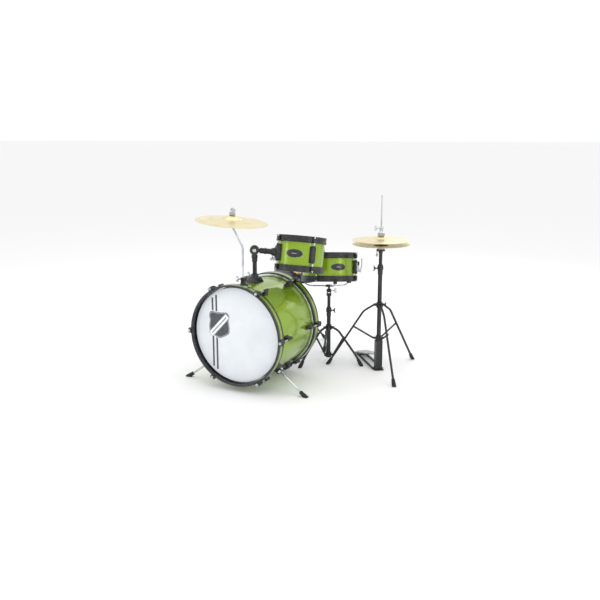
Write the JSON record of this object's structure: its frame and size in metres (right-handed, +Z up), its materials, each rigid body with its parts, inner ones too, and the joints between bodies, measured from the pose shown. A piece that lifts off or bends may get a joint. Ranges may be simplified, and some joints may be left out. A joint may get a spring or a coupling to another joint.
{
  "type": "acoustic drum kit",
  "caption": "Junior acoustic drum kit: bass drum with mounted tom and crash cymbal, snare on a folding stand, hi-hat with pedal, bass pedal and round throne.",
  "frame": {"origin": "bottom centre of the whole kit's bounding box, on the floor", "axes": "+Z up; the bass drum's axis lies along Y, its front head faces -Y (the audience) and the drummer sits on the +Y side; +X is the audience's right"},
  "size_m": [0.9016, 1.0254, 0.807],
  "materials": {
    "green_lacquer": "high gloss metallic lacquer over wood",
    "black_lacquer": "gloss black lacquer over wood",
    "head_film": "coated white film",
    "black_plastic": "satin moulded",
    "black_steel": "satin powder coat",
    "chrome": "polished",
    "cymbal_brass": "lathed, pale",
    "black_vinyl": "grained vinyl",
    "hickory": "clear lacquer"
  },
  "bodies": {
    "kit": {"bass_shell": "green_lacquer", "bass_hoop_front": "black_lacquer", "bass_hoop_rear": "black_lacquer", "bass_head_front": "head_film", "bass_head_rear": "head_film", "bass_lugs": "black_plastic", "bass_claws": "black_plastic", "bass_tension_rods": "chrome", "spur_brackets": "black_steel", "tom_mount_base": "black_steel", "crash_holder": "black_steel", "snare_stand_tube": "black_steel", "hihat_base": "black_steel", "pedal_frame": "black_steel", "throne_base": "black_steel"},
    "spur_right": {"spur_right": "chrome"},
    "spur_left": {"spur_left": "chrome"},
    "tom_post": {"tom_post": "black_steel"},
    "tom": {"tom_arm": "black_steel", "tom_bracket": "black_steel", "tom_shell": "green_lacquer", "tom_heads": "head_film", "tom_hoops": "black_plastic", "tom_lugs": "black_plastic"},
    "crash_rod": {"crash_rod": "chrome"},
    "crash_cymbal": {"crash_cymbal": "cymbal_brass"},
    "snare_stand_collar": {"snare_stand_collar": "black_steel"},
    "snare_stand_leg_1": {"snare_stand_leg_1": "black_steel"},
    "snare_stand_brace_1": {"snare_stand_brace_1": "black_steel"},
    "snare_stand_leg_2": {"snare_stand_leg_2": "black_steel"},
    "snare_stand_brace_2": {"snare_stand_brace_2": "black_steel"},
    "snare_stand_leg_3": {"snare_stand_leg_3": "black_steel"},
    "snare_stand_brace_3": {"snare_stand_brace_3": "black_steel"},
    "hihat_collar": {"hihat_collar": "black_steel"},
    "hihat_leg_1": {"hihat_leg_1": "black_steel"},
    "hihat_brace_1": {"hihat_brace_1": "black_steel"},
    "hihat_leg_2": {"hihat_leg_2": "black_steel"},
    "hihat_brace_2": {"hihat_brace_2": "black_steel"},
    "hihat_leg_3": {"hihat_leg_3": "black_steel"},
    "hihat_brace_3": {"hihat_brace_3": "black_steel"},
    "snare_stand_upper": {"snare_stand_upper_tube": "black_steel"},
    "snare": {"snare_basket": "black_steel", "snare_shell": "green_lacquer", "snare_heads": "head_film", "snare_hoops": "black_plastic", "snare_lugs": "black_plastic", "snare_strainer": "chrome", "snare_wires": "chrome"},
    "snare_lever": {"snare_lever": "chrome"},
    "hihat_upper": {"hihat_upper_tube": "black_steel", "hihat_cymbal_bottom": "cymbal_brass"},
    "hihat_rod": {"hihat_pull_rod": "chrome"},
    "hihat_top": {"hihat_clutch": "chrome", "hihat_cymbal_top": "cymbal_brass"},
    "hihat_pedal": {"hihat_footboard": "black_steel"},
    "pedal_board": {"pedal_footboard": "black_steel"},
    "pedal_beater": {"pedal_beater": "black_steel"},
    "throne_post": {"throne_post": "black_steel"},
    "throne_top": {"throne_seat": "black_vinyl", "drumsticks": "hickory"}
  },
  "joints": [
    {"name": "spur_right_fold", "type": "hinge", "parent": "kit", "child": "spur_right", "pos_m": [0.02825, -0.33022, 0.09288], "axis": [0.6691, 0, 0.7431], "range_deg": [0, 92]},
    {"name": "spur_left_fold", "type": "hinge", "parent": "kit", "child": "spur_left", "pos_m": [-0.30632, -0.33022, 0.09288], "axis": [0.6691, 0, -0.7431], "range_deg": [0, 92]},
    {"name": "tom_post_swivel", "type": "hinge", "parent": "kit", "child": "tom_post", "pos_m": [-0.13903, -0.24422, 0.4687], "axis": [0, 0, 1], "range_deg": [-30, 10]},
    {"name": "tom_arm_tilt", "type": "hinge", "parent": "tom_post", "child": "tom", "pos_m": [-0.13903, -0.24422, 0.585], "axis": [0.4848, -0.8746, 0], "range_deg": [-6, 18]},
    {"name": "crash_rod_swivel", "type": "hinge", "parent": "kit", "child": "crash_rod", "pos_m": [-0.13903, -0.34022, 0.482], "axis": [0, 0, 1], "continuous": true},
    {"name": "crash_cymbal_spin", "type": "hinge", "parent": "crash_rod", "child": "crash_cymbal", "pos_m": [-0.17382, -0.36022, 0.7438], "axis": [0.0958, 0, 0.9954], "continuous": true},
    {"name": "snare_stand_fold", "type": "slide", "parent": "kit", "child": "snare_stand_collar", "axis": [0, 0, 1], "range_m": [0, 0.03603]},
    {"name": "snare_stand_leg_1_swing", "type": "hinge", "parent": "snare_stand_collar", "child": "snare_stand_leg_1", "pos_m": [0.02187, 0.12923, 0.172], "axis": [0.8886, -0.4587, 0], "range_deg": [0, 37.4]},
    {"name": "snare_stand_brace_1_swing", "type": "hinge", "parent": "kit", "child": "snare_stand_brace_1", "pos_m": [0.02187, 0.12923, 0.036], "axis": [0.8886, -0.4587, 0], "range_deg": [-20.96, 0]},
    {"name": "snare_stand_leg_2_swing", "type": "hinge", "parent": "snare_stand_collar", "child": "snare_stand_leg_2", "pos_m": [0.05394, 0.14981, 0.172], "axis": [-0.0471, 0.9989, 0], "range_deg": [0, 37.4]},
    {"name": "snare_stand_brace_2_swing", "type": "hinge", "parent": "kit", "child": "snare_stand_brace_2", "pos_m": [0.05394, 0.14981, 0.036], "axis": [-0.0471, 0.9989, 0], "range_deg": [-20.96, 0]},
    {"name": "snare_stand_leg_3_swing", "type": "hinge", "parent": "snare_stand_collar", "child": "snare_stand_leg_3", "pos_m": [0.02008, 0.16729, 0.172], "axis": [-0.8415, -0.5402, 0], "range_deg": [0, 37.4]},
    {"name": "snare_stand_brace_3_swing", "type": "hinge", "parent": "kit", "child": "snare_stand_brace_3", "pos_m": [0.02008, 0.16729, 0.036], "axis": [-0.8415, -0.5402, 0], "range_deg": [-20.96, 0]},
    {"name": "hihat_fold", "type": "slide", "parent": "kit", "child": "hihat_collar", "axis": [0, 0, 1], "range_m": [0, 0.09339]},
    {"name": "hihat_leg_1_swing", "type": "hinge", "parent": "hihat_collar", "child": "hihat_leg_1", "pos_m": [0.30414, 0.12537, 0.309], "axis": [0.788, 0.6157, 0], "range_deg": [0, 33.5]},
    {"name": "hihat_brace_1_swing", "type": "hinge", "parent": "kit", "child": "hihat_brace_1", "pos_m": [0.30414, 0.12537, 0.152], "axis": [0.788, 0.6157, 0], "range_deg": [-52.66, 0]},
    {"name": "hihat_leg_2_swing", "type": "hinge", "parent": "hihat_collar", "child": "hihat_leg_2", "pos_m": [0.29836, 0.16653, 0.309], "axis": [-0.9272, 0.3746, 0], "range_deg": [0, 33.5]},
    {"name": "hihat_brace_2_swing", "type": "hinge", "parent": "kit", "child": "hihat_brace_2", "pos_m": [0.29836, 0.16653, 0.152], "axis": [-0.9272, 0.3746, 0], "range_deg": [-52.66, 0]},
    {"name": "hihat_leg_3_swing", "type": "hinge", "parent": "hihat_collar", "child": "hihat_leg_3", "pos_m": [0.2656, 0.14094, 0.309], "axis": [0.1392, -0.9903, 0], "range_deg": [0, 33.5]},
    {"name": "hihat_brace_3_swing", "type": "hinge", "parent": "kit", "child": "hihat_brace_3", "pos_m": [0.2656, 0.14094, 0.152], "axis": [0.1392, -0.9903, 0], "range_deg": [-52.66, 0]},
    {"name": "snare_stand_height", "type": "slide", "parent": "kit", "child": "snare_stand_upper", "axis": [0, 0, 1], "range_m": [-0.025, 0.055]},
    {"name": "snare_basket_tilt", "type": "hinge", "parent": "snare_stand_upper", "child": "snare", "pos_m": [0.03197, 0.14878, 0.35], "axis": [0.8878, 0.4602, 0], "range_deg": [-8, 12]},
    {"name": "snare_lever_throw", "type": "hinge", "parent": "snare", "child": "snare_lever", "pos_m": [0.15872, 0.2231, 0.44359], "axis": [-0.3998, 0.9001, -0.1733], "range_deg": [0, 70]},
    {"name": "hihat_height", "type": "slide", "parent": "kit", "child": "hihat_upper", "axis": [0, 0, 1], "range_m": [-0.034, 0]},
    {"name": "hihat_pedal_press", "type": "hinge", "parent": "kit", "child": "hihat_pedal", "pos_m": [0.13188, 0.33196, 0.015], "axis": [0.766, 0.6428, 0], "range_deg": [0, 4.29]},
    {"name": "hihat_rod_pull", "type": "slide", "parent": "kit", "child": "hihat_rod", "axis": [0, 0, 1], "range_m": [-0.016, 0]},
    {"name": "hihat_clutch_height", "type": "slide", "parent": "hihat_rod", "child": "hihat_top", "axis": [0, 0, 1], "range_m": [0, 0.08]},
    {"name": "pedal_press", "type": "hinge", "parent": "kit", "child": "pedal_board", "pos_m": [-0.13903, 0.14078, 0.015], "axis": [1, 0, 0], "range_deg": [0, 11]},
    {"name": "pedal_beater_swing", "type": "hinge", "parent": "kit", "child": "pedal_beater", "pos_m": [-0.13903, -0.02922, 0.17], "axis": [1, 0, 0], "range_deg": [0, 48.78]},
    {"name": "throne_height", "type": "slide", "parent": "kit", "child": "throne_post", "axis": [0, 0, 1], "range_m": [-0.05, 0.08]},
    {"name": "throne_seat_swivel", "type": "hinge", "parent": "throne_post", "child": "throne_top", "pos_m": [-0.24304, 0.34478, 0.402], "axis": [0, 0, 1], "continuous": true}
  ],
  "couplings": [
    {"joint": "snare_stand_leg_1_swing", "follows": "snare_stand_fold", "rad_per_m": 18.112},
    {"joint": "snare_stand_brace_1_swing", "follows": "snare_stand_fold", "rad_per_m": -10.149},
    {"joint": "snare_stand_leg_2_swing", "follows": "snare_stand_fold", "rad_per_m": 18.112},
    {"joint": "snare_stand_brace_2_swing", "follows": "snare_stand_fold", "rad_per_m": -10.149},
    {"joint": "snare_stand_leg_3_swing", "follows": "snare_stand_fold", "rad_per_m": 18.112},
    {"joint": "snare_stand_brace_3_swing", "follows": "snare_stand_fold", "rad_per_m": -10.149},
    {"joint": "hihat_leg_1_swing", "follows": "hihat_fold", "rad_per_m": 6.2588},
    {"joint": "hihat_brace_1_swing", "follows": "hihat_fold", "rad_per_m": -9.8387},
    {"joint": "hihat_leg_2_swing", "follows": "hihat_fold", "rad_per_m": 6.2588},
    {"joint": "hihat_brace_2_swing", "follows": "hihat_fold", "rad_per_m": -9.8387},
    {"joint": "hihat_leg_3_swing", "follows": "hihat_fold", "rad_per_m": 6.2588},
    {"joint": "hihat_brace_3_swing", "follows": "hihat_fold", "rad_per_m": -9.8387},
    {"joint": "hihat_rod_pull", "follows": "hihat_pedal_press", "m_per_rad": -0.21344},
    {"joint": "pedal_beater_swing", "follows": "pedal_press", "ratio": 4.4337}
  ]
}
